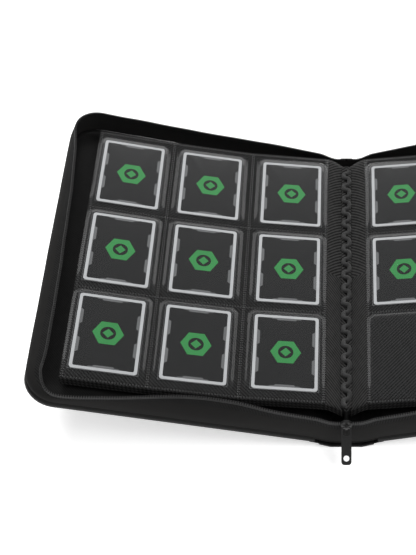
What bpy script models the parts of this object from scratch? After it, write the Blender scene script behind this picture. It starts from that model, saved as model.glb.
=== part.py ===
"""Zip-round card album, open at the middle: covers, gussets, zip, leaves, pockets and cards."""
import math
import bpy
import bmesh
from mathutils import Matrix, Vector

MM = 0.001

# Covers and spine (millimetres)
HINGE_X = 30.0
HINGE_Z = 6.4
COVER_TILT = math.radians(13.87)
COVER_LEN = 278.0
COVER_HALF = 181.0
COVER_R = 30.0
COVER_T = 7.0
GUSSET_H = 17.0
GUSSET_T = 1.8
ZIP_TAPE_T = 1.0

# Leaves
LEAF_HALF = 162.0
LEAF_LINE = [(-4.9, 35.8), (-19.5, 46.3), (-101.5, 55.2), (-185.5, 71.4), (-266.3, 90.04)]
LEAF_DROP = 4.0
WELD_GAP = 1.1
CLOSED_WELD_X = -5.4
CLOSED_WELD_Z = 28.5
CLOSED_PITCH = 4.1
PULL_LENGTH = 35.6
PULL_HALF = 4.8
PULL_HOLE = 29.4
PULL_SLOPE = 36.0
ROW_Y = [104.5, 0.0, -105.0]
COL_U = [38.3, 43.5, 41.5]
POCKET_W = 74.0
POCKET_H = 101.0
CARD_W = 66.0
CARD_H = 91.0
CARD_T = 1.6
PLATE_LOW = -2.7
PLATE_HIGH = -1.9

STITCH_PITCH = 7.8


def material(name, color, rough, metal=0.0):
    mat = bpy.data.materials.new(name)
    mat.use_nodes = True
    bsdf = mat.node_tree.nodes["Principled BSDF"]
    bsdf.inputs["Base Color"].default_value = (*color, 1.0)
    bsdf.inputs["Roughness"].default_value = rough
    bsdf.inputs["Metallic"].default_value = metal
    return mat


def collect(name):
    group = bpy.data.collections.new(name)
    bpy.context.scene.collection.children.link(group)
    return group


def add(name, mesh, kind, origin=(0.0, 0.0, 0.0)):
    """Put a mesh given in world millimetres into the album, with its origin on its own axis."""
    base = Vector(origin)
    mesh.transform(Matrix.Translation(-base))
    mesh.transform(Matrix.Scale(MM, 4))
    mesh.name = name
    obj = bpy.data.objects.new(name, mesh)
    obj.location = base * MM
    mesh.materials.clear()
    color, rough, metal = KINDS[kind]
    mesh.materials.append(material(name, color, rough, metal))
    ALBUM.objects.link(obj)
    return obj


def cleaned(mesh):
    bm = bmesh.new()
    bm.from_mesh(mesh)
    bmesh.ops.remove_doubles(bm, verts=bm.verts, dist=0.0001)
    bmesh.ops.recalc_face_normals(bm, faces=bm.faces)
    bm.to_mesh(mesh)
    bm.free()
    return mesh


def evaluated(obj):
    """Mesh of a temporary object, with its modifiers, and the object removed again."""
    ALBUM.objects.link(obj)
    graph = bpy.context.evaluated_depsgraph_get()
    graph.update()
    mesh = bpy.data.meshes.new_from_object(obj.evaluated_get(graph))
    mesh.transform(obj.matrix_world)
    bpy.data.objects.remove(obj)
    return cleaned(mesh)


def sheet(loops, depth):
    """Flat outline (with holes) in x, y, extruded from 0 up to depth."""
    curve = bpy.data.curves.new("outline", "CURVE")
    curve.dimensions = "2D"
    curve.fill_mode = "BOTH"
    curve.extrude = depth / 2
    for loop in loops:
        spline = curve.splines.new("POLY")
        spline.points.add(len(loop) - 1)
        for point, (x, y) in zip(spline.points, loop):
            point.co = (x, y, 0.0, 1.0)
        spline.use_cyclic_u = True
    mesh = evaluated(bpy.data.objects.new("outline", curve))
    mesh.transform(Matrix.Translation((0.0, 0.0, depth / 2)))
    return mesh


def cord(points, radius, sides=2, cyclic=False):
    """Round cord through the points."""
    curve = bpy.data.curves.new("cord", "CURVE")
    curve.dimensions = "3D"
    curve.bevel_depth = radius
    curve.bevel_resolution = sides
    curve.use_fill_caps = True
    spline = curve.splines.new("POLY")
    spline.points.add(len(points) - 1)
    for point, place in zip(spline.points, points):
        point.co = (*place, 1.0)
    spline.use_cyclic_u = cyclic
    return evaluated(bpy.data.objects.new("cord", curve))


def upright(mesh, y0):
    """Turn an x, z outline so that its depth runs along +Y from y0."""
    turn = Matrix(((1, 0, 0, 0), (0, 0, -1, 0), (0, 1, 0, 0), (0, 0, 0, 1)))
    mesh.transform(turn)
    low = min(v.co.y for v in mesh.vertices)
    mesh.transform(Matrix.Translation((0.0, y0 - low, 0.0)))
    return mesh


def mirrored(mesh):
    copy = mesh.copy()
    copy.transform(Matrix.Scale(-1.0, 4, (1.0, 0.0, 0.0)))
    copy.flip_normals()
    return copy


def both_sides(part, mesh, kind, origin=(0.0, 0.0, 0.0)):
    other = mirrored(mesh)
    add("left_" + part, mesh, kind, origin)
    add("right_" + part, other, kind, (-origin[0], origin[1], origin[2]))


def arc(cx, cy, radius, start, stop, steps=8):
    out = []
    for i in range(steps + 1):
        a = math.radians(start + (stop - start) * i / steps)
        out.append((cx + radius * math.cos(a), cy + radius * math.sin(a)))
    return out


def rounded(x0, x1, y0, y1, radius, steps=6):
    r = radius
    loop = arc(x1 - r, y1 - r, r, 0, 90, steps)
    loop += arc(x0 + r, y1 - r, r, 90, 180, steps)
    loop += arc(x0 + r, y0 + r, r, 180, 270, steps)
    loop += arc(x1 - r, y0 + r, r, 270, 360, steps)
    return loop


# The cover's own frame: u outward from the hinge, v along the spine, w out of the outer skin
def cover_matrix():
    out = Vector((-math.cos(COVER_TILT), 0.0, math.sin(COVER_TILT)))
    nrm = Vector((math.sin(COVER_TILT), 0.0, math.cos(COVER_TILT)))
    side = Vector((0.0, -1.0, 0.0))
    m = Matrix.Identity(4)
    for i, col in enumerate((out, side, nrm)):
        m[0][i], m[1][i], m[2][i] = col
    m[0][3], m[1][3], m[2][3] = -HINGE_X, 0.0, HINGE_Z
    return m


def cover_outline(inset, start, steps=10):
    """D-shaped outline: straight at the hinge, rounded at the two free corners."""
    r = COVER_R - inset
    half = COVER_HALF - inset
    end = COVER_LEN - inset
    loop = [(start, -half)]
    loop += arc(end - r, -half + r, r, -90, 0, steps)
    loop += arc(end - r, half - r, r, 0, 90, steps)
    loop += [(start, half)]
    return loop


def band(inset, thick, start, height, base):
    """Wall that follows the cover's three free edges."""
    outer = cover_outline(inset, start)
    inner = cover_outline(inset + thick, start)
    mesh = sheet([outer + inner[::-1]], height)
    mesh.transform(Matrix.Translation((0.0, 0.0, base)))
    mesh.transform(cover_matrix())
    return mesh


def boolean(target, tool, mode):
    a = bpy.data.objects.new("a", target)
    b = bpy.data.objects.new("b", tool)
    CUTTERS.objects.link(b)
    b.hide_render = True
    b.display_type = "WIRE"
    mod = a.modifiers.new("join", "BOOLEAN")
    mod.operation = mode
    mod.solver = "EXACT"
    mod.object = b
    mesh = evaluated(a)
    bpy.data.objects.remove(b)
    return mesh


def slab(inset, start, thick, base):
    mesh = sheet([cover_outline(inset, start)], thick)
    mesh.transform(Matrix.Translation((0.0, 0.0, base)))
    return mesh


def make_covers():
    axis = cover_matrix() @ Vector((0.0, 0.0, COVER_T / 2))
    plate = slab(0.0, 1.0, 2.2, 0.0)
    outer = cover_outline(0.0, 6.0)
    inner = cover_outline(2.0, 6.0)
    rim = sheet([outer + inner[::-1]], COVER_T - 1.0)
    rim.transform(Matrix.Translation((0.0, 0.0, 1.0)))
    skin = boolean(plate, rim, "UNION")
    skin.transform(cover_matrix())
    both_sides("cover_skin", skin, "leatherette", axis)
    board = slab(2.4, 4.0, 2.2, 2.5)
    board.transform(cover_matrix())
    both_sides("cover_board", board, "board", axis)
    lining = slab(2.4, 4.0, 1.9, 5.0)
    lining.transform(cover_matrix())
    both_sides("cover_lining", lining, "lining", axis)
    base = COVER_T + 0.3
    both_sides("gusset", band(1.5, GUSSET_T, 6.0, GUSSET_H, base), "gusset", axis)
    base += GUSSET_H + 0.3
    both_sides("zip_tape", band(1.9, ZIP_TAPE_T, 48.0, 5.4, base), "tape", axis)
    base += 5.4 + 0.3
    both_sides("zip_coil", band(1.5, 1.8, 62.0, 1.6, base), "coil", axis)


def offset_line(points, dist):
    """Points moved along the line's upward normal, mitred at the bends."""
    out = []
    for i, p in enumerate(points):
        dirs = []
        if i > 0:
            dirs.append((Vector(p) - Vector(points[i - 1])).normalized())
        if i < len(points) - 1:
            dirs.append((Vector(points[i + 1]) - Vector(p)).normalized())
        normals = [Vector((d.y, -d.x)) for d in dirs]
        mean = sum(normals, Vector((0.0, 0.0))).normalized()
        out.append(Vector(p) + mean * (dist / mean.dot(normals[0])))
    return [(q.x, q.y) for q in out]


def strip(points, low, high, y0, y1):
    """Sheet that follows a bent line in x, z."""
    loop = offset_line(points, high) + offset_line(points, low)[::-1]
    return upright(sheet([loop], y1 - y0), y0)


def along(p, q, dist):
    d = (Vector(q) - Vector(p)).normalized()
    r = Vector(p) + d * dist
    return (r.x, r.y)


def leaf_line(level):
    """Card line of leaf 1 (lowest), 2 or 3 (top)."""
    drop = LEAF_DROP * (3 - level)
    return [(x, z - drop) for x, z in LEAF_LINE]


def weld_axis(level):
    line = leaf_line(level)
    mid = offset_line(line, (PLATE_LOW + PLATE_HIGH) / 2)[1]
    return (mid[0], 0.0, mid[1])


def margin_axis(level):
    """Fixed centre of the margin's swing between the open and the closed album."""
    line = leaf_line(level)
    root, weld = Vector(line[0]), Vector(line[1])
    edge = Vector(line[-1])
    chord = edge - weld
    turn = math.pi / 2 - math.atan2(chord.y, -chord.x)
    goal = Vector((CLOSED_WELD_X - CLOSED_PITCH * (3 - level), CLOSED_WELD_Z))
    shift = goal - weld
    mid = (goal + weld) / 2
    reach = shift.length / 2 / math.tan(turn / 2)
    side = Vector((shift.y, -shift.x)).normalized()
    centre = mid + side * reach
    return (centre.x, 0.0, centre.y), turn


def film(points, top, base):
    """Clear sheet with nine raised pockets, closed over by Solidify."""
    uu = [0.8]
    for i in range(3):
        p, q = Vector(points[i]), Vector(points[i + 1])
        start = sum((Vector(points[k + 1]) - Vector(points[k])).length for k in range(i))
        c = start + COL_U[i]
        half = POCKET_W / 2
        uu += [c - half, c - half + 2.0, c + half - 2.0, c + half]
        end = start + (q - p).length
        uu.append(end if i < 2 else end - 0.5)
    vv = [-LEAF_HALF + 0.5]
    for c in ROW_Y[::-1]:
        half = POCKET_H / 2
        vv += [c - half, c - half + 2.0, c + half - 2.0, c + half]
    vv.append(LEAF_HALF - 0.5)
    lengths = [(Vector(points[k + 1]) - Vector(points[k])).length for k in range(3)]
    bm = bmesh.new()
    grid = []
    for i, u in enumerate(uu):
        seg, rest = 0, u
        while seg < 2 and rest > lengths[seg]:
            rest -= lengths[seg]
            seg += 1
        p, q = Vector(points[seg]), Vector(points[seg + 1])
        d = (q - p).normalized()
        n = Vector((d.y, -d.x))
        raised_u = i in (2, 3, 7, 8, 12, 13)
        row = []
        for j, v in enumerate(vv):
            high = raised_u and j in (2, 3, 6, 7, 10, 11)
            place = p + d * rest + n * (top if high else base)
            row.append(bm.verts.new((place.x, v, place.y)))
        grid.append(row)
    for i in range(len(uu) - 1):
        for j in range(len(vv) - 1):
            quad = (grid[i][j], grid[i + 1][j], grid[i + 1][j + 1], grid[i][j + 1])
            bm.faces.new(quad)
    bmesh.ops.recalc_face_normals(bm, faces=bm.faces)
    up = sum((f.normal.z for f in bm.faces), 0.0)
    if up < 0:
        bmesh.ops.reverse_faces(bm, faces=bm.faces)
    mesh = bpy.data.meshes.new("film")
    bm.to_mesh(mesh)
    bm.free()
    obj = bpy.data.objects.new("film", mesh)
    mod = obj.modifiers.new("skin", "SOLIDIFY")
    mod.thickness = 0.3
    mod.offset = 1.0
    mod.use_even_offset = True
    return evaluated(obj)


def make_leaves():
    for level in (1, 2, 3):
        line = leaf_line(level)
        pole, turn = margin_axis(level)
        weld = weld_axis(level)
        root = line[0]
        stop = along(line[1], line[0], WELD_GAP)
        margin = strip([root, stop], PLATE_LOW, PLATE_HIGH, -LEAF_HALF, LEAF_HALF)
        both_sides(f"margin_{level}", margin, "leaf", pole)
        start = along(line[1], line[2], WELD_GAP)
        body = [start] + line[2:]
        plate = strip(body, PLATE_LOW, PLATE_HIGH, -LEAF_HALF, LEAF_HALF)
        both_sides(f"leaf_{level}", plate, "leaf", weld)
        top = 0.4 if level == 3 else 0.1
        both_sides(f"film_{level}", film(body, top, PLATE_HIGH + 0.3), "film", weld)


def card_matrix(col, y):
    line = leaf_line(3)
    p, q = Vector(line[col + 1]), Vector(line[col + 2])
    d = (q - p).normalized()
    n = Vector((d.y, -d.x))
    start = 1.1 if col == 0 else 0.0
    c = p + d * (COL_U[col] + start)
    m = Matrix.Identity(4)
    cols = (Vector((d.x, 0, d.y)), Vector((0, -1, 0)), Vector((n.x, 0, n.y)))
    for i, vec in enumerate(cols):
        m[0][i], m[1][i], m[2][i] = vec
    m[0][3], m[1][3], m[2][3] = c.x, y, c.y
    return m


def make_cards():
    card = sheet([rounded(-CARD_W / 2, CARD_W / 2, -CARD_H / 2, CARD_H / 2, 3.0, 3)], CARD_T - 0.1)
    card.transform(Matrix.Translation((0.0, 0.0, -CARD_T)))
    for row in range(3):
        for col in range(3):
            place = card_matrix(col, ROW_Y[row])
            mesh = card.copy()
            mesh.transform(place)
            centre = place @ Vector((0.0, 0.0, -CARD_T / 2))
            if row < 2:
                other = mirrored(mesh)
                spot = (-centre.x, centre.y, centre.z)
                add(f"right_card_{row + 1}{col + 1}", other, "card", spot)
            add(f"left_card_{row + 1}{col + 1}", mesh, "card", tuple(centre))


def make_spine():
    low = [(-26.4, 4.6), (-15.0, 0.0), (15.0, 0.0), (26.4, 4.6)]
    high = [(25.8, 6.5), (14.6, 2.0), (-14.6, 2.0), (-25.8, 6.5)]
    skin = upright(sheet([low + high], 2 * COVER_HALF), -COVER_HALF)
    add("spine_skin", skin, "leatherette")
    board = upright(sheet([rounded(-13.6, 13.6, 2.3, 4.3, 0.4, 2)], 352.0), -176.0)
    add("spine_board", board, "board")
    lining = upright(sheet([rounded(-17.0, 17.0, 4.9, 6.1, 0.4, 2)], 356.0), -178.0)
    add("spine_lining", lining, "lining")
    fold = [(-2.2, 6.4), (2.2, 6.4), (2.2, 33.4), (0.0, 32.6), (-2.2, 33.4)]
    add("book_fold", upright(sheet([fold], 2 * LEAF_HALF), -LEAF_HALF), "leaf")
    count = int(320.0 / STITCH_PITCH)
    points = []
    for i in range(count + 1):
        y = -STITCH_PITCH * count / 2 + STITCH_PITCH * i
        points.append((-2.2, y - 1.6, 35.6))
        points.append((2.2, y + 1.6, 35.6))
    add("gutter_stitch", cord(points, 1.6, 1), "thread")
    for name, y in (("front", -176.6), ("back", 175.2)):
        edge = [(-17.0, 6.6), (17.0, 6.6), (14.0, 26.0), (5.4, 31.0), (-5.4, 31.0), (-14.0, 26.0)]
        add(f"end_gusset_{name}", upright(sheet([edge], 1.4), y), "gusset")


def bar_matrix(origin, slope):
    """Frame whose x runs down the pull, for parts of the puller."""
    along_pull = Vector((0.0, -math.cos(slope), -math.sin(slope)))
    up = Vector((0.0, -math.sin(slope), math.cos(slope)))
    side = up.cross(along_pull)
    m = Matrix.Identity(4)
    for i, vec in enumerate((along_pull, side, up)):
        m[0][i], m[1][i], m[2][i] = vec
        m[i][3] = origin[i]
    return m


def make_slider():
    shape = [(-5.0, 0.0), (-3.6, -5.0), (3.6, -5.0), (5.0, 0.0), (5.0, 4.0), (2.2, 6.5)]
    shape += [(-2.2, 6.5), (-5.0, 4.0)]
    plate = upright(sheet([[(x, z + 34.0) for x, z in shape]], 2.6), -179.4)
    bridge_shape = [(0.0, 0.0), (-3.4, 1.0), (-3.4, 5.0), (0.0, 6.0), (0.0, 4.6), (-2.2, 4.0)]
    bridge_shape += [(-2.2, 2.0), (0.0, 1.4)]
    bridge = sheet([bridge_shape], 2.4)
    bridge.transform(Matrix.Translation((0.0, 0.0, -1.2)))
    turn = Matrix(((0, 0, 1, 0), (1, 0, 0, -179.1), (0, 1, 0, 31.0), (0, 0, 0, 1)))
    bridge.transform(turn)
    body = boolean(plate, bridge, "UNION")
    add("slider_body", body, "metal", (0.0, -178.0, 34.0))
    pin = (0.0, -180.35, 34.0)
    frame = bar_matrix(pin, math.radians(PULL_SLOPE))
    outline = rounded(-0.55, PULL_LENGTH, -PULL_HALF, PULL_HALF, 3.0, 5)
    outline = [(x, y) if x > 2.0 else (max(x, -0.5), y) for x, y in outline]
    window = rounded(0.5, 8.4, -3.2, 3.2, 1.4, 3)
    hole = arc(PULL_HOLE, 0.0, 2.8, 0, 330, 11)
    tab = sheet([outline, window, hole], 1.0)
    tab.transform(Matrix.Translation((0.0, 0.0, -0.5)))
    tab.transform(frame)
    add("pull_tab", tab, "metal", pin)


for old in list(bpy.data.objects):
    bpy.data.objects.remove(old)
ALBUM = collect("card_album")
CUTTERS = collect("cutters")
KINDS = {
    "leatherette": ((0.028, 0.028, 0.03), 0.55, 0.0),
    "board": ((0.25, 0.22, 0.18), 0.9, 0.0),
    "lining": ((0.03, 0.03, 0.032), 0.85, 0.0),
    "gusset": ((0.03, 0.03, 0.03), 0.8, 0.0),
    "tape": ((0.025, 0.025, 0.025), 0.85, 0.0),
    "coil": ((0.03, 0.03, 0.03), 0.5, 0.0),
    "leaf": ((0.03, 0.03, 0.033), 0.7, 0.0),
    "film": ((0.6, 0.62, 0.65), 0.15, 0.0),
    "card": ((0.05, 0.05, 0.055), 0.4, 0.0),
    "thread": ((0.05, 0.05, 0.055), 0.7, 0.0),
    "metal": ((0.06, 0.06, 0.065), 0.35, 0.6),
}
make_covers()
make_leaves()
make_cards()
make_spine()
make_slider()
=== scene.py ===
import math
import bpy
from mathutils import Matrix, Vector


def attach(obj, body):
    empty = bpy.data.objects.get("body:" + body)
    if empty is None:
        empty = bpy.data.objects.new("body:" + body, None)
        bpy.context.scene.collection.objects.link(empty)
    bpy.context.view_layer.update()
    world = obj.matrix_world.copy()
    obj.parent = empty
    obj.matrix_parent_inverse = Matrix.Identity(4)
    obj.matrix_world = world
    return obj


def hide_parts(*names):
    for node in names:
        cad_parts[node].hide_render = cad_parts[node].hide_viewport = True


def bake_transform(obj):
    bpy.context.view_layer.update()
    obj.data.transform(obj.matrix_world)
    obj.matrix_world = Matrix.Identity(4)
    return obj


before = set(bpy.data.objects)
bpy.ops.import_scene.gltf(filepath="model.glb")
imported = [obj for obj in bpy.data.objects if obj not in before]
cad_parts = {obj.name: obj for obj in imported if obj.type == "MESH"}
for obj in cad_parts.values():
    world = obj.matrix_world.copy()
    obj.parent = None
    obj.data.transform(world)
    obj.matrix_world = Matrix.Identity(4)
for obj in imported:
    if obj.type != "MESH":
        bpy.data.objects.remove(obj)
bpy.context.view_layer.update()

MM = 0.001
TILT = math.radians(13.87)
HINGE = Vector((-30.0, 0.0, 6.4))
OUT = Vector((-math.cos(TILT), 0.0, math.sin(TILT)))
NRM = Vector((math.sin(TILT), 0.0, math.cos(TILT)))
LEAF_LINE = [(-4.9, 35.8), (-19.5, 46.3), (-101.5, 55.2), (-185.5, 71.4), (-266.3, 90.04)]
COL_U = [39.4, 43.5, 41.5]
ROW_Y = [104.5, 0.0, -105.0]
LEAF_HALF = 162.0
LEAF_DROP = 4.0
COVER_HALF = 181.0
COVER_LEN = 278.0
CORNER = 30.0
SIDES = (("left", 1), ("right", -1))


# ---------------------------------------------------------------- materials
class Shader:
    """One node material, with short helpers for its bumps and colour changes."""

    def __init__(self, name):
        self.mat = bpy.data.materials.new(name)
        self.mat.use_nodes = True
        self.tree = self.mat.node_tree
        self.bsdf = self.tree.nodes["Principled BSDF"]
        self.height = None
        coord = self.node("ShaderNodeTexCoord")
        self.coord = coord.outputs["Object"]
        mirror = self.node("ShaderNodeVectorMath")
        mirror.operation = "ABSOLUTE"
        self.mirrored = mirror.outputs["Vector"]
        self.link(self.coord, mirror.inputs[0])

    def node(self, kind, **inputs):
        made = self.tree.nodes.new(kind)
        for key, value in inputs.items():
            made.inputs[key.replace("_", " ")].default_value = value
        return made

    def link(self, a, b):
        self.tree.links.new(a, b)

    def set(self, key, value):
        self.bsdf.inputs[key].default_value = value

    def bump(self, height, strength, distance):
        made = self.node("ShaderNodeBump", Strength=strength, Distance=distance)
        self.link(height, made.inputs["Height"])
        if self.height is not None:
            self.link(self.height, made.inputs["Normal"])
        self.height = made.outputs["Normal"]
        self.link(self.height, self.bsdf.inputs["Normal"])

    def noise(self, scale):
        made = self.node("ShaderNodeTexNoise", Scale=scale, Detail=4.0)
        self.link(self.coord, made.inputs["Vector"])
        return made.outputs["Fac"]

    def wave(self, scale, turn):
        """Straight bands, turned in the sheet's plane and mirrored at the gutter."""
        mapping = self.node("ShaderNodeMapping", Rotation=(0.0, 0.0, turn))
        made = self.node("ShaderNodeTexWave", Scale=scale)
        self.link(self.mirrored, mapping.inputs["Vector"])
        self.link(mapping.outputs["Vector"], made.inputs["Vector"])
        return made.outputs["Fac"]

    def math(self, kind, a, b):
        made = self.node("ShaderNodeMath")
        made.operation = kind
        for i, value in enumerate((a, b)):
            if isinstance(value, float):
                made.inputs[i].default_value = value
            else:
                self.link(value, made.inputs[i])
        return made.outputs[0]

    def tint(self, factor, low, high):
        ramp = self.node("ShaderNodeValToRGB")
        ramp.color_ramp.elements[0].position = 0.3
        ramp.color_ramp.elements[1].position = 0.75
        ramp.color_ramp.elements[0].color = (*low, 1.0)
        ramp.color_ramp.elements[1].color = (*high, 1.0)
        self.link(factor, ramp.inputs["Fac"])
        self.link(ramp.outputs["Color"], self.bsdf.inputs["Base Color"])


def grey(value, warm=0.0):
    return (value * (1 + warm), value, value * (1 - warm))


def leather(name, tone):
    s = Shader(name)
    s.tint(s.noise(60.0), grey(tone * 0.85), grey(tone * 1.2))
    s.set("Roughness", 0.46)
    s.set("Specular IOR Level", 0.18)
    cells = s.node("ShaderNodeTexVoronoi", Scale=700.0)
    s.link(s.coord, cells.inputs["Vector"])
    s.bump(cells.outputs["Distance"], 0.35, 0.0004)
    s.bump(s.noise(90.0), 0.25, 0.0006)
    return s.mat


def cloth(name, tone, scale, warm, sheen, strength=0.45, gloss=0.25, contrast=0.45):
    """Twill: one clear diagonal rib, softened by a finer cross thread."""
    s = Shader(name)
    rib = s.wave(scale, -0.75)
    cross = s.wave(scale * 2.3, -0.55)
    c = s.math("ADD", s.math("MULTIPLY", rib, 0.75), s.math("MULTIPLY", cross, 0.25))
    s.tint(s.math("ADD", s.math("MULTIPLY", c, 0.7), s.math("MULTIPLY", s.noise(130.0), 0.35)),
           grey(tone * (1 - contrast), warm), grey(tone * (1 + contrast), warm))
    s.set("Roughness", 0.78)
    s.set("Specular IOR Level", gloss)
    s.set("Sheen Weight", sheen)
    s.set("Sheen Roughness", 0.5)
    s.bump(c, strength, 0.0003)
    s.bump(s.noise(25.0), 0.2, 0.0012)
    return s.mat


def plain(name, color, rough, metal=0.0):
    s = Shader(name)
    s.tint(s.noise(80.0), [c * 0.93 for c in color], [c * 1.05 for c in color])
    s.set("Roughness", rough)
    s.set("Metallic", metal)
    s.bump(s.noise(400.0), 0.06, 0.0002)
    return s.mat


def printed(name, color):
    s = Shader(name)
    s.tint(s.noise(60.0), [c * 0.97 for c in color], [c * 1.03 for c in color])
    s.set("Roughness", 0.45)
    s.set("Specular IOR Level", 0.15)
    return s.mat


def clear(name, haze, rough, tone=0.8, shine=0.35):
    """Thin clear film: mostly see-through, with gloss and a little haze."""
    mat = bpy.data.materials.new(name)
    mat.use_nodes = True
    tree = mat.node_tree
    tree.nodes.remove(tree.nodes["Principled BSDF"])
    out = tree.nodes["Material Output"]
    through = tree.nodes.new("ShaderNodeBsdfTransparent")
    through.inputs["Color"].default_value = (0.93, 0.935, 0.94, 1.0)
    milk = tree.nodes.new("ShaderNodeBsdfDiffuse")
    milk.inputs["Color"].default_value = (tone, tone, tone, 1.0)
    gloss = tree.nodes.new("ShaderNodeBsdfGlossy")
    gloss.inputs["Roughness"].default_value = rough
    first = tree.nodes.new("ShaderNodeMixShader")
    first.inputs["Fac"].default_value = haze
    tree.links.new(through.outputs[0], first.inputs[1])
    tree.links.new(milk.outputs[0], first.inputs[2])
    fresnel = tree.nodes.new("ShaderNodeFresnel")
    fresnel.inputs["IOR"].default_value = 1.38
    coord = tree.nodes.new("ShaderNodeTexCoord")
    noise = tree.nodes.new("ShaderNodeTexNoise")
    noise.inputs["Scale"].default_value = 22.0
    bump = tree.nodes.new("ShaderNodeBump")
    bump.inputs["Strength"].default_value = 0.06
    bump.inputs["Distance"].default_value = 0.001
    tree.links.new(coord.outputs["Object"], noise.inputs["Vector"])
    tree.links.new(noise.outputs["Fac"], bump.inputs["Height"])
    tree.links.new(bump.outputs["Normal"], gloss.inputs["Normal"])
    tree.links.new(bump.outputs["Normal"], fresnel.inputs["Normal"])
    second = tree.nodes.new("ShaderNodeMixShader")
    dim = tree.nodes.new("ShaderNodeMath")
    dim.operation = "MULTIPLY"
    dim.inputs[1].default_value = shine
    tree.links.new(fresnel.outputs[0], dim.inputs[0])
    tree.links.new(dim.outputs[0], second.inputs["Fac"])
    tree.links.new(first.outputs[0], second.inputs[1])
    tree.links.new(gloss.outputs[0], second.inputs[2])
    tree.links.new(second.outputs[0], out.inputs["Surface"])
    return mat


MATS = {
    "leather": leather("leatherette", 0.0105),
    "gusset": cloth("gusset cloth", 0.014, 600.0, 0.02, 0.01, 0.1, 0.06, 0.15),
    "tape": cloth("zip tape weave", 0.011, 170.0, 0.0, 0.02, 0.6, 0.1),
    "leaf": cloth("leaf cloth", 0.015, 115.0, 0.0, 0.02, 0.6, 0.12, 0.65),
    "lining": cloth("lining cloth", 0.008, 170.0, 0.0, 0.03),
    "margin": cloth("margin cloth", 0.02, 115.0, 0.01, 0.03, 0.9, 0.15, 0.85),
    "thread": cloth("thread", 0.03, 500.0, 0.0, 0.12, 0.8),
    "teeth": plain("zip teeth", grey(0.02), 0.4),
    "metal": plain("slider metal", grey(0.035), 0.3, 0.7),
    "board": plain("board", (0.25, 0.22, 0.18), 0.9),
    "film": clear("pocket film", 0.002, 0.12),
    "film_edge": clear("pocket film edge", 0.004, 0.22, 0.8, 0.22),
    "weld": clear("weld marks", 0.028, 0.3),
    "sleeve": clear("card sleeve", 0.12, 0.1, 0.6),
    "face": printed("card face", grey(0.019)),
    "border": printed("card border", grey(0.5)),
    "accent": printed("card accent", grey(0.15)),
    "green": printed("card emblem", (0.05, 0.26, 0.078)),
}


# ---------------------------------------------------------------- meshes
def make(name, verts, faces, kinds, sign=1, which=None, smooth=True):
    """Mesh from millimetres; sign -1 gives the right-hand twin. which is a material number per face."""
    mesh = bpy.data.meshes.new(name)
    mesh.from_pydata([(v[0] * MM * sign, v[1] * MM, v[2] * MM) for v in verts], [],
                     [f if sign > 0 else f[::-1] for f in faces])
    for kind in kinds:
        mesh.materials.append(MATS[kind])
    if which:
        mesh.polygons.foreach_set("material_index", which)
    mesh.polygons.foreach_set("use_smooth", [smooth] * len(faces))
    mesh.update()
    obj = bpy.data.objects.new(name, mesh)
    bpy.context.scene.collection.objects.link(obj)
    return obj


def grid_faces(rows, cols):
    return [(i * cols + j, i * cols + j + 1, (i + 1) * cols + j + 1, (i + 1) * cols + j)
            for i in range(rows - 1) for j in range(cols - 1)]


def thicken(obj, thick, offset=0.0, levels=0):
    mod = obj.modifiers.new("thickness", "SOLIDIFY")
    mod.thickness = thick * MM
    mod.offset = offset
    if levels:
        sub = obj.modifiers.new("smooth", "SUBSURF")
        sub.levels = levels
        sub.render_levels = levels


def soften(obj, width, segments=2):
    mod = obj.modifiers.new("bevel", "BEVEL")
    mod.width = width * MM
    mod.segments = segments
    mod.limit_method = "ANGLE"
    mod.angle_limit = 0.6


def tube(name, points, radius, kind, sign=1, cyclic=False, resolution=3):
    curve = bpy.data.curves.new(name, "CURVE")
    curve.dimensions = "3D"
    curve.bevel_depth = radius * MM
    curve.bevel_resolution = resolution
    curve.use_fill_caps = True
    spline = curve.splines.new("POLY")
    spline.points.add(len(points) - 1)
    for point, place in zip(spline.points, points):
        point.co = (place[0] * MM * sign, place[1] * MM, place[2] * MM, 1.0)
    spline.use_cyclic_u = cyclic
    holder = bpy.data.objects.new(name, curve)
    bpy.context.scene.collection.objects.link(holder)
    graph = bpy.context.evaluated_depsgraph_get()
    graph.update()
    mesh = bpy.data.meshes.new_from_object(holder.evaluated_get(graph))
    bpy.data.objects.remove(holder)
    mesh.name = name
    mesh.materials.clear()
    mesh.materials.append(MATS[kind])
    mesh.polygons.foreach_set("use_smooth", [True] * len(mesh.polygons))
    obj = bpy.data.objects.new(name, mesh)
    bpy.context.scene.collection.objects.link(obj)
    return obj


def knot_values(knots, s):
    """Values at s on a smooth curve through (s, a, b, ...) knots."""
    k = 0
    while k < len(knots) - 2 and s > knots[k + 1][0]:
        k += 1
    before, left, right, after = (knots[max(k - 1, 0)], knots[k], knots[k + 1],
                                  knots[min(k + 2, len(knots) - 1)])
    span = right[0] - left[0]
    t = (s - left[0]) / span
    out = []
    for i in range(1, len(left)):
        slope_a = (right[i] - before[i]) / (right[0] - before[0]) * span
        slope_b = (after[i] - left[i]) / (after[0] - left[0]) * span
        out.append((2 * t ** 3 - 3 * t ** 2 + 1) * left[i] + (t ** 3 - 2 * t ** 2 + t) * slope_a
                   + (3 * t ** 2 - 2 * t ** 3) * right[i] + (t ** 3 - t ** 2) * slope_b)
    return out


def cover_point(u, v, w):
    p = HINGE + OUT * u + NRM * w
    return Vector((p.x, v, p.z))


# ---------------------------------------------------------------- gusset and zip
EDGE_V = COVER_HALF - 2.0
EDGE_U = COVER_LEN - 2.0
U_FLAT = EDGE_U - CORNER
U_START = 34.0
KNOT_LENGTH = 940.0
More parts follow.
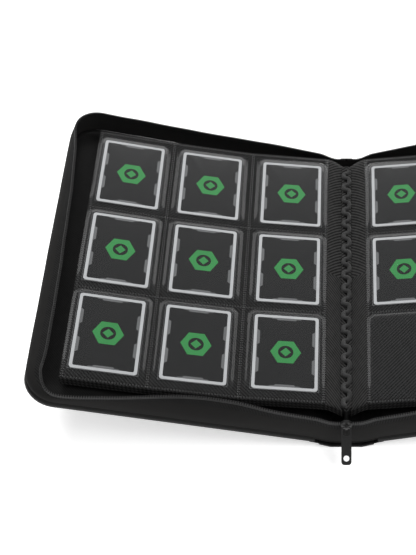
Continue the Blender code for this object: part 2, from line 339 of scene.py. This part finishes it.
# distance along the edge, then height, inward lean and outward bulge of the gusset
GUSSET = [(0, 26.5, 2.6, 0.8), (50, 26.0, 3.2, 1.0), (86, 26.0, 5.8, 1.0), (116, 26.0, 9.5, 1.5),
          (143, 24.5, 10.4, 1.5), (171, 23.0, 9.0, 1.0), (200, 20.5, 5.2, 0.8), (232, 17.0, 1.8, 0.6),
          (262, 12.0, 0.3, 0.5), (282, 10.5, 1.5, 1.0), (306, 14.0, 10.0, 2.0), (335, 16.5, 14.5, 3.0),
          (400, 17.5, 14.0, 3.0), (468, 19.0, 13.0, 3.0), (589, 22.0, 7.5, 2.0), (640, 25.0, 1.0, 0.5),
          (690, 26.5, 3.0, 1.0), (740, 26.0, 4.0, 1.5), (860, 25.5, 4.0, 1.0), (911, 23.5, 3.6, 1.0),
          (940, 22.5, 3.5, 1.0)]


def edge_path(step=4.0):
    """(base point, inward direction, up direction, distance) round the three free edges."""
    out = []
    flat = U_FLAT + U_START
    bend = math.pi / 2 * CORNER
    side = 2 * (EDGE_V - CORNER)
    total = 2 * flat + 2 * bend + side
    count = int(total / step)
    for i in range(count + 1):
        s = total * i / count
        half = min(s, total - s)
        front = -1 if s < total / 2 else 1
        if half <= flat:
            u = half - U_START
            plan = (u, front * EDGE_V)
            inward = (0.0, -front)
        elif half <= flat + bend:
            a = (half - flat) / CORNER
            plan = (U_FLAT + CORNER * math.sin(a),
                    front * (EDGE_V - CORNER + CORNER * math.cos(a)))
            inward = (-math.sin(a), -front * math.cos(a))
        else:
            plan = (EDGE_U, front * (EDGE_V - CORNER - (half - flat - bend)))
            inward = (-1.0, 0.0)
        u, v = plan
        base = cover_point(u, v, 7.2)
        up = NRM.copy()
        if u < 8.0:
            t = max(0.0, min(1.0, (8.0 - u) / 30.0))
            t = t * t * (3 - 2 * t)
            flatp = Vector((min(base.x, -0.4), v, 6.6))
            base = base.lerp(flatp, t)
            up = up.lerp(Vector((0.0, 0.0, 1.0)), t).normalized()
        into = Vector((OUT.x * inward[0], inward[1], OUT.z * inward[0]))
        out.append((base, into, up, s * KNOT_LENGTH / total))
    return out


def gusset_point(base, into, up, s, t):
    high, lean, bulge = knot_values(GUSSET, s)
    ripple = 0.3 * math.sin(s * 0.05) + 0.12 * math.sin(s * 0.13 + 1.0)
    push = lean * t * t - bulge * math.sin(math.pi * t) + ripple * t
    return base + up * (high * t) + into * push


def make_gusset(side, sign):
    path = edge_path()
    rows = [0.0, 0.08, 0.2, 0.34, 0.48, 0.6, 0.7, 0.74, 0.8, 0.88, 0.96, 1.0]
    verts = [gusset_point(*station, t) for station in path for t in rows]
    faces = grid_faces(len(path), len(rows))
    which = [1 if j >= 8 else 0 for _ in range(len(path) - 1) for j in range(len(rows) - 1)]
    wall = make(f"{side}_gusset_cloth", verts, faces, ["gusset", "tape"], sign, which)
    thicken(wall, 1.3, 0.0, 1)
    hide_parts(f"{side}_gusset", f"{side}_zip_tape")
    parts = [wall]
    for number, (t, radius) in enumerate(((0.02, 0.75), (0.8, 0.3), (0.985, 0.8))):
        line = []
        for base, into, up, s in path:
            line.append(gusset_point(base, into, up, s, t) - into * 0.5)
        parts.append(tube(f"{side}_gusset_cord_{number}", line, radius,
                          "gusset" if number < 2 else "thread", sign))
    verts, faces = [], []
    fine = edge_path(2.3)
    for i, (base, into, up, s) in enumerate(fine[:-1]):
        tip = gusset_point(base, into, up, s, 1.0)
        nxt = gusset_point(*fine[i + 1], 1.0)
        run = (nxt - tip).normalized()
        k = len(verts)
        for a, b, c in ((-1, -1, 0), (1, -1, 0), (1, 1, 0), (-1, 1, 0), (-1, -1, 1), (1, -1, 1),
                        (1, 1, 1), (-1, 1, 1)):
            verts.append(tip + run * (a * 0.6) + into * (b * 1.0) + up * (c * 1.7))
        faces += [(k, k + 1, k + 5, k + 4), (k + 1, k + 2, k + 6, k + 5),
                  (k + 2, k + 3, k + 7, k + 6), (k + 3, k, k + 4, k + 7),
                  (k + 4, k + 5, k + 6, k + 7), (k + 3, k + 2, k + 1, k)]
    teeth = make(f"{side}_zip_teeth", verts, faces, ["teeth"], sign, smooth=False)
    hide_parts(f"{side}_zip_coil")
    parts.append(teeth)
    for obj in parts:
        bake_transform(obj)


# ---------------------------------------------------------------- covers and spine
def outline(inset, start, corner, steps=10):
    """Three free edges of a cover, inset, with rounded corners."""
    half, end, r = COVER_HALF - inset, COVER_LEN - inset, corner - inset
    points = [(start, -half)]
    for k in range(steps + 1):
        a = -math.pi / 2 + math.pi / 2 * k / steps
        points.append((end - r + r * math.cos(a), -half + r + r * math.sin(a)))
    for k in range(steps + 1):
        a = math.pi / 2 * k / steps
        points.append((end - r + r * math.cos(a), half - r + r * math.sin(a)))
    points.append((start, half))
    return points


def make_cover(side, sign):
    """Padded shell built of rings: outer skin, rolled edge, stitched groove, inner lining."""
    rings = [(60.0, 0.15), (12.0, 0.1), (7.0, 0.1), (6.2, 0.7), (5.4, 0.1), (2.2, 0.3), (0.7, 1.3),
             (0.0, 3.0), (0.2, 4.8), (1.0, 6.2), (2.2, 7.0)]
    verts, faces = [], []
    count = len(outline(0.0, 2.0, CORNER))
    for inset, w in rings:
        for u, v in outline(inset, 1.2, max(CORNER, inset + 1.0)):
            verts.append(cover_point(u, v, w))
    for i in range(len(rings) - 1):
        for j in range(count - 1):
            a = i * count + j
            faces.append((a, a + 1, a + count + 1, a + count))
    faces.append(tuple(range(count))[::-1])
    last = (len(rings) - 1) * count
    faces.append(tuple(range(last, last + count)))
    shell = make(f"{side}_cover_shell", verts, faces, ["leather"], sign)
    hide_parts(f"{side}_cover_skin", f"{side}_cover_board")
    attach(shell, f"{side}_cover")
    verts = []
    cols, rows = 34, 40
    for i in range(cols):
        for j in range(rows):
            u = 3.0 + (272.5 - 3.0) * i / (cols - 1)
            v = -175.5 + 351.0 * j / (rows - 1)
            over_u = max(0.0, u - (272.5 - 27.0))
            over_v = max(0.0, abs(v) - (175.5 - 27.0))
            reach = math.hypot(over_u, over_v)
            if reach > 27.0:
                u -= over_u * (1 - 27.0 / reach)
                v -= math.copysign(over_v * (1 - 27.0 / reach), v)
            puff = 0.35 * math.sin(u * 0.045) * math.cos(v * 0.03)
            verts.append(cover_point(u, v, 7.45 + 0.25 * puff))
    lining = make(f"{side}_inner_lining", verts, grid_faces(cols, rows), ["lining"], sign)
    thicken(lining, 0.5)
    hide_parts(f"{side}_cover_lining")
    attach(lining, f"{side}_cover")


def make_hinge(side, sign):
    """Soft bands that join the spine to the cover, outside and inside."""
    outer = [(-12.0, 0.9), (-17.0, 1.6), (-22.0, 3.6), (-26.5, 5.2), (-28.5, 6.1), (-30.5, 7.0),
             (-33.0, 7.65), (-38.0, 8.9)]
    inner = [(-14.0, 6.7), (-18.0, 7.1), (-23.0, 8.6), (-28.0, 11.4), (-32.0, 14.0), (-37.0, 15.9),
             (-42.0, 17.2)]
    for label, line, kind, half in (("outer", outer, "leather", 180.9),
                                    ("inner", inner, "lining", 178.5)):
        rows = 30
        verts = [(x, -half + 2 * half * j / (rows - 1), z) for x, z in line for j in range(rows)]
        obj = make(f"{side}_hinge_band_{label}", verts, grid_faces(len(line), rows), [kind], sign)
        thicken(obj, 1.0, 0.0, 1)
        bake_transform(obj)


# ---------------------------------------------------------------- leaves
def leaf_frames(level):
    drop = LEAF_DROP * (3 - level)
    return [Vector((x, 0.0, z - drop)) for x, z in LEAF_LINE]


def leaf_point(points, s, v, n):
    """Point on the leaf at s from the weld line outward (negative s runs into the margin)."""
    if s < 0:
        d = (points[1] - points[0]).normalized()
        place = points[1] + d * s
        return Vector((place.x, v, place.z)) + Vector((d.z, 0.0, -d.x)) * n
    k = 1
    while k < 3 and s > (points[k + 1] - points[k]).length:
        s -= (points[k + 1] - points[k]).length
        k += 1
    d = (points[k + 1] - points[k]).normalized()
    place = points[k] + d * s
    return Vector((place.x, v, place.z)) + Vector((d.z, 0.0, -d.x)) * n


def make_page(side, sign, level):
    points = leaf_frames(level)
    stops = [-20.6, -19.6, -18.0]
    stops += [-16.0 + 2.0 * i for i in range(7)]
    stops += [-2.6, -1.6, -0.8, 0.0, 0.8, 2.0]
    stops += [5.0 + 4.0 * i for i in range(61)] + [248.3]
    rows = 60
    verts = []
    for s in stops:
        for j in range(rows):
            v = -LEAF_HALF + 2 * LEAF_HALF * j / (rows - 1)
            sag = 0.35 * math.sin(v * 0.05 + level) * math.sin(s * 0.06 + 0.5)
            edge = 0.0
            if s > 232.0:
                edge = 0.5 * math.sin(v * 0.045 + 1.3 * level) * (s - 232.0) / 16.0
            roll = 0.9 * math.sin(math.pi * min(1.0, -s / 18.0)) if s < 0 else 0.0
            verts.append(leaf_point(points, s, v, -2.35 + 0.5 * sag + edge + roll))
    faces = grid_faces(len(stops), rows)
    which = [1 if stops[i + 1] <= 0.0 else 0 for i in range(len(stops) - 1) for _ in range(rows - 1)]
    page = make(f"{side}_page_{level}", verts, faces, ["leaf", "margin"], sign, which)
    thicken(page, 0.7)
    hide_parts(f"{side}_margin_{level}", f"{side}_leaf_{level}")
    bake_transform(page)


def pillow(points, centre, y, width, height, rise, base, verts, faces, which):
    """One clear pocket: flat rim, steep welded slope, soft crown, clipped corners."""
    shape = [(0.0, 0.0), (0.02, 0.35), (0.035, 0.8), (0.055, 0.98), (0.1, 1.03), (0.2, 1.08),
             (0.5, 1.15)]
    rings = [(k * width, lift) for k, lift in shape[:-1]]
    start = len(verts)
    for inset, lift in rings:
        a, b = width / 2 - inset, height / 2 - inset
        cut = max(0.8, 6.0 - inset * 0.5)
        corners = [(a, -b + cut), (a, b - cut), (a - cut, b), (-a + cut, b), (-a, b - cut),
                   (-a, -b + cut), (-a + cut, -b), (a - cut, -b)]
        ring = []
        for i in range(8):
            p, q = corners[i], corners[(i + 1) % 8]
            steps = 1 if i % 2 else 9
            for k in range(steps):
                t = k / steps
                ring.append((p[0] + (q[0] - p[0]) * t, p[1] + (q[1] - p[1]) * t))
        around = len(ring)
        for du, dv in ring:
            wobble = 0.12 * math.sin(du * 0.35 + y) * math.sin(dv * 0.3 + centre)
            n = base + (rise - base) * lift + (wobble if lift > 0.9 else 0.0)
            verts.append(leaf_point(points, centre + du, y + dv, n))
    for i in range(len(rings) - 1):
        for j in range(around):
            a = start + i * around + j
            b = start + i * around + (j + 1) % around
            faces.append((a, b, b + around, a + around))
            which.append(1 if i < 3 else 0)
    top = len(verts)
    verts.append(leaf_point(points, centre, y, base + (rise - base) * 1.15))
    last = start + (len(rings) - 1) * around
    for j in range(around):
        faces.append((last + j, last + (j + 1) % around, top))
        which.append(0)


def column_centres(points):
    out, start = [], 0.0
    for k in range(3):
        out.append(start + COL_U[k])
        start += (points[k + 2] - points[k + 1]).length
    return out


def make_film(side, sign, level):
    points = leaf_frames(level)
    verts, faces, which = [], [], []
    for c in column_centres(points):
        for y in ROW_Y:
            rise = 0.6 if level == 3 else 0.1
            pillow(points, c, y, 77.0, 102.0, rise, -1.75, verts, faces, which)
    obj = make(f"{side}_pocket_film_{level}", verts, faces, ["film", "film_edge"], sign, which)
    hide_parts(f"{side}_film_{level}")
    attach(obj, f"{side}_leaf_{level}")
    if level < 3:
        return
    verts, faces = [], []
    lengths = [0.0] + [(points[k + 2] - points[k + 1]).length for k in range(3)]
    seams = [1.6, lengths[1] - 0.2, lengths[1] + lengths[2] - 0.2, 246.0]

    def mark(s, v, ds, dv):
        k = len(verts)
        for a, b, n in ((-1, -1, -1.9), (1, -1, -1.9), (1, 1, -1.9), (-1, 1, -1.9),
                        (-0.6, -0.6, -1.45), (0.6, -0.6, -1.45), (0.6, 0.6, -1.45),
                        (-0.6, 0.6, -1.45)):
            verts.append(leaf_point(points, s + a * ds, v + b * dv, n))
        faces.extend([(k, k + 1, k + 5, k + 4), (k + 1, k + 2, k + 6, k + 5),
                      (k + 2, k + 3, k + 7, k + 6), (k + 3, k, k + 4, k + 7),
                      (k + 4, k + 5, k + 6, k + 7)])

    for s in seams:
        for i in range(118):
            mark(s, -159.0 + 2.72 * i, 1.15, 0.7)
    for y in (159.6, 52.3, -52.5, -159.6):
        for i in range(89):
            mark(3.6 + 2.72 * i, y, 0.7, 1.15)
    obj = make(f"{side}_weld_marks", verts, faces, ["weld"], sign, smooth=False)
    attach(obj, f"{side}_leaf_{level}")


# ---------------------------------------------------------------- cards
def rounded(w, h, r, steps=5):
    out = []
    for cx, cy, start in ((w / 2 - r, h / 2 - r, 0), (-w / 2 + r, h / 2 - r, 90),
                          (-w / 2 + r, -h / 2 + r, 180), (w / 2 - r, -h / 2 + r, 270)):
        for k in range(steps + 1):
            a = math.radians(start + 90 * k / steps)
            out.append((cx + r * math.cos(a), cy + r * math.sin(a)))
    return out


def make_card(side, sign, node, column, y):
    points = leaf_frames(3)
    centre = column_centres(points)[column]
    verts, faces, which = [], [], []

    def layer(loop, n, kind):
        k = len(verts)
        verts.extend(leaf_point(points, centre + a, y + b, n) for a, b in loop)
        faces.append(tuple(range(k, k + len(loop)))[::-1])
        which.append(kind)

    def ring(outer, inner, n, kind, n2=None):
        k, m = len(verts), len(outer)
        verts.extend(leaf_point(points, centre + a, y + b, n) for a, b in outer)
        verts.extend(leaf_point(points, centre + a, y + b, n if n2 is None else n2) for a, b in inner)
        for j in range(m):
            i = (j + 1) % m
            faces.append((k + j, k + m + j, k + m + i, k + i))
            which.append(kind)

    body = rounded(63.2, 88.2, 3.0)
    ring(body, body, -1.2, 1, -0.5)
    ring(body, rounded(57.0, 82.0, 1.6), -0.5, 1)
    layer(rounded(57.0, 82.0, 1.6), -0.5, 0)
    for e in (1, -1):
        for low, high, deep in ((-27.0, 27.0, 0.7), (7.0, 26.0, 3.0), (-26.0, -7.0, 3.0)):
            tall = [(e * 28.6, low), (e * 28.6, high), (e * (28.6 - deep), high - 2.0),
                    (e * (28.6 - deep), low + 2.0)]
            layer(tall[::e], -0.47 + 0.01 * deep, 2)
        for low, high, deep in ((-16.0, 16.0, 1.3), (-11.0, 11.0, 2.8)):
            wide = [(high, e * 41.1), (low, e * 41.1), (low + 2.0, e * (41.1 - deep)),
                    (high - 2.0, e * (41.1 - deep))]
            layer(wide[::e], -0.47 + 0.01 * deep, 2)
    hexagon = [(15.0 * math.cos(math.pi * k / 3), 15.0 * math.sin(math.pi * k / 3))
               for k in range(6)]
    layer(hexagon, -0.46, 3)
    layer(rounded(15.0, 15.0, 7.4, 6), -0.44, 0)
    layer([(5.2, 0.0), (0.0, 5.2), (-5.2, 0.0), (0.0, -5.2)], -0.42, 3)
    obj = make(f"{node}_print", verts, faces, ["face", "border", "accent", "green"], sign, which,
               False)
    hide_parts(node)
    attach(obj, node)
    verts, faces, which = [], [], []
    layer(rounded(66.0, 91.0, 0.8, 2), -1.4, 0)
    layer(rounded(66.0, 91.0, 0.8, 2), -0.2, 0)
    ring(rounded(66.0, 91.0, 0.8, 2), rounded(64.8, 89.8, 0.8, 2), -0.15, 1)
    sleeve = make(f"{node}_sleeve", verts, faces, ["film", "sleeve"], sign, which, False)
    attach(sleeve, node)


# ---------------------------------------------------------------- gutter, spine, slider
def make_stitch():
    """One thick thread that winds round the sheets' folds, seen as slanted loops."""
    turn, low, high = 17.6, -158.0, 154.0
    count = 320
    line = []
    for i in range(count + 1):
        y = low + (high - low) * i / count
        a = 2 * math.pi * (y - low) / turn
        line.append((-3.2 * math.sin(a), y - 1.2 * math.sin(2 * a), 34.7 + 1.0 * math.cos(a)))
    thread = tube("gutter_thread", line, 2.3, "thread")
    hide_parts("gutter_stitch")
    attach(thread, "spine")
    for level in (1, 2, 3):
        top = 34.4 - LEAF_DROP * (3 - level)
        rows = 12
        profile = [(-5.0, top + 0.4), (-3.6, top - 0.6), (-1.6, top - 1.5), (0.0, top - 1.8),
                   (1.6, top - 1.5), (3.6, top - 0.6), (5.0, top + 0.4)]
        verts = [(x, -162.0 + 324.0 * j / (rows - 1), z) for x, z in profile for j in range(rows)]
        fold = make(f"sheet_fold_{level}", verts, grid_faces(len(profile), rows), ["margin"])
        thicken(fold, 0.8, 0.0, 1)
        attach(fold, "spine")


def dress_cad():
    """Bevels and materials for the hard CAD pieces that are shown as they are."""
    looks = {"spine_skin": "leather", "spine_board": "board", "spine_lining": "lining",
             "book_fold": "leaf", "slider_body": "metal", "pull_tab": "metal",
             "end_gusset_front": "gusset", "end_gusset_back": "gusset"}
    for name, kind in looks.items():
        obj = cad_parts[name]
        obj.data.materials.clear()
        obj.data.materials.append(MATS[kind])
        soften(obj, 0.35 if kind == "metal" else 0.6, 3)


for side, sign in SIDES:
    make_cover(side, sign)
    make_hinge(side, sign)
    make_gusset(side, sign)
    for level in (1, 2, 3):
        make_page(side, sign, level)
        make_film(side, sign, level)
    for row in range(3):
        for column in range(3):
            node = f"{side}_card_{row + 1}{column + 1}"
            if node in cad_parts:
                make_card(side, sign, node, column, ROW_Y[row])
make_stitch()
dress_cad()

# ---------------------------------------------------------------- studio
def make_floor():
    bpy.ops.mesh.primitive_plane_add(size=12.0, location=(0, 0, -0.0005))
    floor = bpy.context.object
    floor.name = "floor"
    ground = bpy.data.materials.new("floor")
    ground.use_nodes = True
    inputs = ground.node_tree.nodes["Principled BSDF"].inputs
    inputs["Base Color"].default_value = (0.92, 0.92, 0.92, 1)
    inputs["Roughness"].default_value = 0.9
    inputs["Emission Color"].default_value = (1, 1, 1, 1)
    inputs["Emission Strength"].default_value = 0.55
    floor.data.materials.append(ground)


def make_world():
    world = bpy.data.worlds.new("studio")
    world.use_nodes = True
    world.node_tree.nodes["Background"].inputs["Color"].default_value = (1.0, 1.0, 1.0, 1)
    world.node_tree.nodes["Background"].inputs["Strength"].default_value = 0.42
    bpy.context.scene.world = world
    bpy.context.scene.view_settings.view_transform = "Standard"


def area(name, place, target, size, power):
    lamp = bpy.data.lights.new(name, "AREA")
    lamp.shape = "RECTANGLE"
    lamp.size, lamp.size_y = size
    lamp.energy = power
    obj = bpy.data.objects.new(name, lamp)
    obj.location = place
    obj.rotation_euler = (Vector(target) - Vector(place)).to_track_quat("-Z", "Y").to_euler()
    obj.visible_glossy = False
    bpy.context.scene.collection.objects.link(obj)


def make_camera():
    """High front view of the left half; the shift puts the gutter right of the centre."""
    camera = bpy.data.cameras.new("camera")
    camera.lens = 84.53
    camera.sensor_width = 36.0
    camera.shift_x = -0.2494
    camera.clip_end = 50.0
    eye = bpy.data.objects.new("camera", camera)
    eye.location = (0.0, -0.8510, 1.0677)
    eye.rotation_euler = (math.radians(39.52), 0.0, 0.0)
    bpy.context.scene.collection.objects.link(eye)
    bpy.context.scene.camera = eye


make_floor()
make_world()
area("key", (-0.5, 0.9, 1.5), (0, 0, 0), (0.9, 0.5), 30.0)
area("fill", (0.9, -0.5, 1.3), (0, 0, 0), (0.9, 0.9), 14.0)
make_camera()
